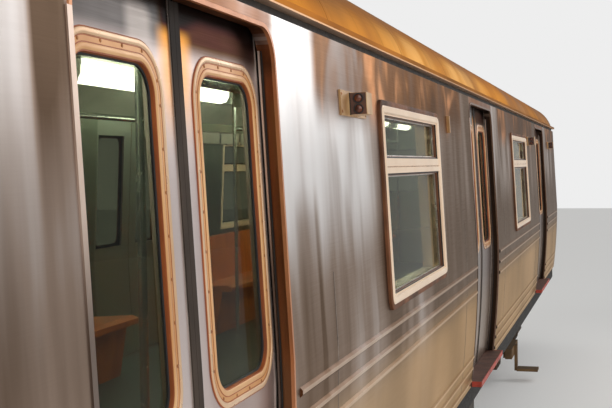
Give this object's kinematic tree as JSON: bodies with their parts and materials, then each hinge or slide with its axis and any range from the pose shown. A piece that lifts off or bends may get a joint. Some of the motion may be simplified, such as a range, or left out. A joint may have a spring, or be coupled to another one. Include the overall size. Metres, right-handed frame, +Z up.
{
  "type": "metro car",
  "caption": "Full-size stainless steel metro car with sliding side doors, end doors, swivelling powered trucks, hinged drawbars and a hollow saloon with seats.",
  "frame": {"origin": "under the middle of the car, at the lowest point of the wheel flanges, 28 mm below the rail top", "axes": "+X along the car towards the plain end, the cab is at -X, +Y to the left side, +Z up"},
  "size_m": [22.86, 3.0624, 3.728],
  "materials": {
    "stainless": "brushed, streaked and lightly dented",
    "door_steel": "brushed",
    "roof_paint": "satin ochre paint",
    "rail_paint": "pale satin paint",
    "frame_paint": "worn cream paint",
    "glass": "grey-green tint",
    "sill_iron": "worn, with a red edge",
    "lamp_housing": "cream paint",
    "lamp_glass": "clear lens",
    "underframe_paint": "sooty black",
    "box_paint": "dusty dark grey",
    "grid_iron": "heat-stained",
    "floor_vinyl": "speckled dark grey",
    "ceiling_panel": "off-white",
    "light_cover": "lit diffuser",
    "seat_shell": "moulded orange",
    "pole_steel": "polished",
    "partition_panel": "satin grey",
    "desk": "dark grey",
    "truck_iron": "brake dust",
    "wheel_steel": "rusty, with a polished tread",
    "spring_rubber": "dusty black",
    "motor_paint": "oily dark grey",
    "shoe_beam": "weathered hardwood",
    "coupler_iron": "greased and rusty"
  },
  "bodies": {
    "car_body": {"underframe": "underframe_paint", "floor": "floor_vinyl", "side_bays_right": "stainless", "side_bays_left": "stainless", "door_headers": "stainless", "roof": "roof_paint", "drip_rails": "rail_paint", "end_wall_cab": "stainless", "end_wall_plain": "stainless", "end_windows": "glass", "end_lamps": "lamp_glass", "window_frames": "frame_paint", "window_panes": "glass", "door_sills": "sill_iron", "guard_lights": "lamp_housing", "anticlimbers": "coupler_iron", "equipment_boxes": "box_paint", "resistor_grids": "grid_iron", "air_tanks": "box_paint", "compressor": "motor_paint", "ceiling": "ceiling_panel", "ceiling_lights": "light_cover", "seats": "seat_shell", "grab_poles": "pole_steel", "cab_partition": "partition_panel", "cab_console": "desk"},
    "doors_right_fore": {"door_leaves_right_fore": "door_steel", "door_glass_right_fore": "glass"},
    "doors_right_aft": {"door_leaves_right_aft": "door_steel", "door_glass_right_aft": "glass"},
    "doors_left_fore": {"door_leaves_left_fore": "door_steel", "door_glass_left_fore": "glass"},
    "doors_left_aft": {"door_leaves_left_aft": "door_steel", "door_glass_left_aft": "glass"},
    "cab_end_door": {"end_door_cab": "door_steel", "end_door_glass_cab": "glass"},
    "truck_cab": {"truck_frame_cab": "truck_iron", "truck_bolster_cab": "truck_iron", "air_springs_cab": "spring_rubber", "traction_motors_cab": "motor_paint", "contact_shoes_cab": "shoe_beam"},
    "axle_1": {"wheelset_1": "wheel_steel"},
    "axle_2": {"wheelset_2": "wheel_steel"},
    "drawbar_cab": {"coupler_cab": "coupler_iron"},
    "plain_end_door": {"end_door_plain": "door_steel", "end_door_glass_plain": "glass"},
    "truck_plain": {"truck_frame_plain": "truck_iron", "truck_bolster_plain": "truck_iron", "air_springs_plain": "spring_rubber", "traction_motors_plain": "motor_paint", "contact_shoes_plain": "shoe_beam"},
    "axle_3": {"wheelset_3": "wheel_steel"},
    "axle_4": {"wheelset_4": "wheel_steel"},
    "drawbar_plain": {"coupler_plain": "coupler_iron"}
  },
  "joints": [
    {"name": "right_doors_fore", "type": "slide", "parent": "car_body", "child": "doors_right_fore", "axis": [1, 0, 0], "range_m": [0, 0.61]},
    {"name": "right_doors_aft", "type": "slide", "parent": "car_body", "child": "doors_right_aft", "axis": [-1, 0, 0], "range_m": [0, 0.61]},
    {"name": "left_doors_fore", "type": "slide", "parent": "car_body", "child": "doors_left_fore", "axis": [1, 0, 0], "range_m": [0, 0.61]},
    {"name": "left_doors_aft", "type": "slide", "parent": "car_body", "child": "doors_left_aft", "axis": [-1, 0, 0], "range_m": [0, 0.61]},
    {"name": "cab_end_door_slide", "type": "slide", "parent": "car_body", "child": "cab_end_door", "axis": [0, 1, 0], "range_m": [0, 0.72]},
    {"name": "truck_cab_pivot", "type": "hinge", "parent": "car_body", "child": "truck_cab", "pos_m": [-8.23, 0, 0.9], "axis": [0, 0, 1], "range_deg": [-10, 10]},
    {"name": "axle_1_spin", "type": "hinge", "parent": "truck_cab", "child": "axle_1", "pos_m": [-9.271, 0, 0.46], "axis": [0, 1, 0], "continuous": true},
    {"name": "axle_2_spin", "type": "hinge", "parent": "truck_cab", "child": "axle_2", "pos_m": [-7.189, 0, 0.46], "axis": [0, 1, 0], "continuous": true},
    {"name": "drawbar_cab_pivot", "type": "hinge", "parent": "car_body", "child": "drawbar_cab", "pos_m": [-10.3, 0, 0.8], "axis": [0, 0, 1], "range_deg": [-15, 15]},
    {"name": "plain_end_door_slide", "type": "slide", "parent": "car_body", "child": "plain_end_door", "axis": [0, 1, 0], "range_m": [0, 0.72]},
    {"name": "truck_plain_pivot", "type": "hinge", "parent": "car_body", "child": "truck_plain", "pos_m": [8.23, 0, 0.9], "axis": [0, 0, 1], "range_deg": [-10, 10]},
    {"name": "axle_3_spin", "type": "hinge", "parent": "truck_plain", "child": "axle_3", "pos_m": [7.189, 0, 0.46], "axis": [0, 1, 0], "continuous": true},
    {"name": "axle_4_spin", "type": "hinge", "parent": "truck_plain", "child": "axle_4", "pos_m": [9.271, 0, 0.46], "axis": [0, 1, 0], "continuous": true},
    {"name": "drawbar_plain_pivot", "type": "hinge", "parent": "car_body", "child": "drawbar_plain", "pos_m": [10.3, 0, 0.8], "axis": [0, 0, 1], "range_deg": [-15, 15]}
  ],
  "couplings": [
    {"joint": "right_doors_aft", "follows": "right_doors_fore", "ratio": 1},
    {"joint": "left_doors_aft", "follows": "left_doors_fore", "ratio": 1}
  ]
}
